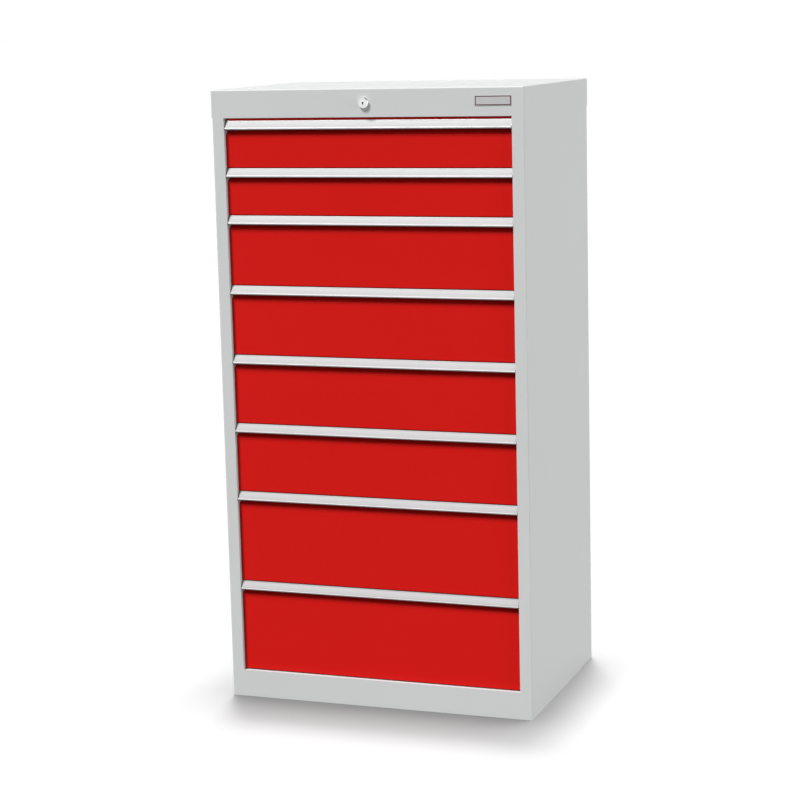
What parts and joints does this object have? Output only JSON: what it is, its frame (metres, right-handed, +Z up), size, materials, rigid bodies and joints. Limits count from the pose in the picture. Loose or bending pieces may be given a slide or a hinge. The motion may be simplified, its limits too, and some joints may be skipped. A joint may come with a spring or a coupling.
{
  "type": "multi-drawer cabinet",
  "caption": "Floor-standing steel workshop cabinet with full-width handle strips on red drawer fronts, telescopic slides and one central lock in the header.",
  "frame": {"origin": "on the floor, under the middle of the whole cabinet's box", "axes": "+Z up, the drawers open towards -Y, +X to the right of a person who faces the front"},
  "size_m": [0.69, 0.4954, 1.325],
  "materials": {
    "body_paint": "light grey powder coat, fine orange peel",
    "front_paint": "red powder coat, satin",
    "drawer_paint": "light grey powder coat",
    "handle": "satin anodised extrusion",
    "zinc_steel": "bright zinc plate",
    "nickel": "nickel plate",
    "nylon": "moulded nylon",
    "plate": "bare satin plate"
  },
  "bodies": {
    "cabinet": {"left_side": "body_paint", "right_side": "body_paint", "back_panel": "body_paint", "base": "body_paint", "top_cover": "body_paint", "header_rail": "body_paint", "front_uprights": "zinc_steel", "rear_uprights": "zinc_steel", "left_rails": "zinc_steel", "right_rails": "zinc_steel", "lock_housing": "nickel", "lock_nut": "nickel", "shaft_bracket": "zinc_steel", "bar_guides": "nylon", "header_plate": "plate"},
    "lock_cylinder": {"lock_plug": "nickel", "lock_shaft": "zinc_steel"},
    "locking_bar": {"lock_bar": "zinc_steel"},
    "drawer_1": {"drawer_1_shell": "drawer_paint", "drawer_1_front": "front_paint", "drawer_1_handle": "handle", "drawer_1_runners": "zinc_steel"},
    "slide_1": {"drawer_1_slides": "zinc_steel"},
    "drawer_2": {"drawer_2_shell": "drawer_paint", "drawer_2_front": "front_paint", "drawer_2_handle": "handle", "drawer_2_runners": "zinc_steel"},
    "slide_2": {"drawer_2_slides": "zinc_steel"},
    "drawer_3": {"drawer_3_shell": "drawer_paint", "drawer_3_front": "front_paint", "drawer_3_handle": "handle", "drawer_3_runners": "zinc_steel"},
    "slide_3": {"drawer_3_slides": "zinc_steel"},
    "drawer_4": {"drawer_4_shell": "drawer_paint", "drawer_4_front": "front_paint", "drawer_4_handle": "handle", "drawer_4_runners": "zinc_steel"},
    "slide_4": {"drawer_4_slides": "zinc_steel"},
    "drawer_5": {"drawer_5_shell": "drawer_paint", "drawer_5_front": "front_paint", "drawer_5_handle": "handle", "drawer_5_runners": "zinc_steel"},
    "slide_5": {"drawer_5_slides": "zinc_steel"},
    "drawer_6": {"drawer_6_shell": "drawer_paint", "drawer_6_front": "front_paint", "drawer_6_handle": "handle", "drawer_6_runners": "zinc_steel"},
    "slide_6": {"drawer_6_slides": "zinc_steel"},
    "drawer_7": {"drawer_7_shell": "drawer_paint", "drawer_7_front": "front_paint", "drawer_7_handle": "handle", "drawer_7_runners": "zinc_steel"},
    "slide_7": {"drawer_7_slides": "zinc_steel"},
    "drawer_8": {"drawer_8_shell": "drawer_paint", "drawer_8_front": "front_paint", "drawer_8_handle": "handle", "drawer_8_runners": "zinc_steel"},
    "slide_8": {"drawer_8_slides": "zinc_steel"}
  },
  "joints": [
    {"name": "drawer_1_pull", "type": "slide", "parent": "cabinet", "child": "drawer_1", "axis": [0, -1, 0], "range_m": [0, 0.4]},
    {"name": "slide_1_extend", "type": "slide", "parent": "cabinet", "child": "slide_1", "axis": [0, -1, 0], "range_m": [0, 0.2]},
    {"name": "drawer_2_pull", "type": "slide", "parent": "cabinet", "child": "drawer_2", "axis": [0, -1, 0], "range_m": [0, 0.4]},
    {"name": "slide_2_extend", "type": "slide", "parent": "cabinet", "child": "slide_2", "axis": [0, -1, 0], "range_m": [0, 0.2]},
    {"name": "drawer_3_pull", "type": "slide", "parent": "cabinet", "child": "drawer_3", "axis": [0, -1, 0], "range_m": [0, 0.4]},
    {"name": "slide_3_extend", "type": "slide", "parent": "cabinet", "child": "slide_3", "axis": [0, -1, 0], "range_m": [0, 0.2]},
    {"name": "drawer_4_pull", "type": "slide", "parent": "cabinet", "child": "drawer_4", "axis": [0, -1, 0], "range_m": [0, 0.4]},
    {"name": "slide_4_extend", "type": "slide", "parent": "cabinet", "child": "slide_4", "axis": [0, -1, 0], "range_m": [0, 0.2]},
    {"name": "drawer_5_pull", "type": "slide", "parent": "cabinet", "child": "drawer_5", "axis": [0, -1, 0], "range_m": [0, 0.4]},
    {"name": "slide_5_extend", "type": "slide", "parent": "cabinet", "child": "slide_5", "axis": [0, -1, 0], "range_m": [0, 0.2]},
    {"name": "drawer_6_pull", "type": "slide", "parent": "cabinet", "child": "drawer_6", "axis": [0, -1, 0], "range_m": [0, 0.4]},
    {"name": "slide_6_extend", "type": "slide", "parent": "cabinet", "child": "slide_6", "axis": [0, -1, 0], "range_m": [0, 0.2]},
    {"name": "drawer_7_pull", "type": "slide", "parent": "cabinet", "child": "drawer_7", "axis": [0, -1, 0], "range_m": [0, 0.4]},
    {"name": "slide_7_extend", "type": "slide", "parent": "cabinet", "child": "slide_7", "axis": [0, -1, 0], "range_m": [0, 0.2]},
    {"name": "drawer_8_pull", "type": "slide", "parent": "cabinet", "child": "drawer_8", "axis": [0, -1, 0], "range_m": [0, 0.4]},
    {"name": "slide_8_extend", "type": "slide", "parent": "cabinet", "child": "slide_8", "axis": [0, -1, 0], "range_m": [0, 0.2]},
    {"name": "lock_turn", "type": "hinge", "parent": "cabinet", "child": "lock_cylinder", "pos_m": [0, -0.24225, 1.2955], "axis": [0, -1, 0], "range_deg": [0, 90]},
    {"name": "bar_lift", "type": "slide", "parent": "cabinet", "child": "locking_bar", "axis": [0, 0, 1], "range_m": [0, 0.01697]}
  ],
  "couplings": [
    {"joint": "slide_1_extend", "follows": "drawer_1_pull", "ratio": 0.5},
    {"joint": "slide_2_extend", "follows": "drawer_2_pull", "ratio": 0.5},
    {"joint": "slide_3_extend", "follows": "drawer_3_pull", "ratio": 0.5},
    {"joint": "slide_4_extend", "follows": "drawer_4_pull", "ratio": 0.5},
    {"joint": "slide_5_extend", "follows": "drawer_5_pull", "ratio": 0.5},
    {"joint": "slide_6_extend", "follows": "drawer_6_pull", "ratio": 0.5},
    {"joint": "slide_7_extend", "follows": "drawer_7_pull", "ratio": 0.5},
    {"joint": "slide_8_extend", "follows": "drawer_8_pull", "ratio": 0.5},
    {"joint": "lock_turn", "follows": "bar_lift", "rad_per_m": 92.56}
  ]
}
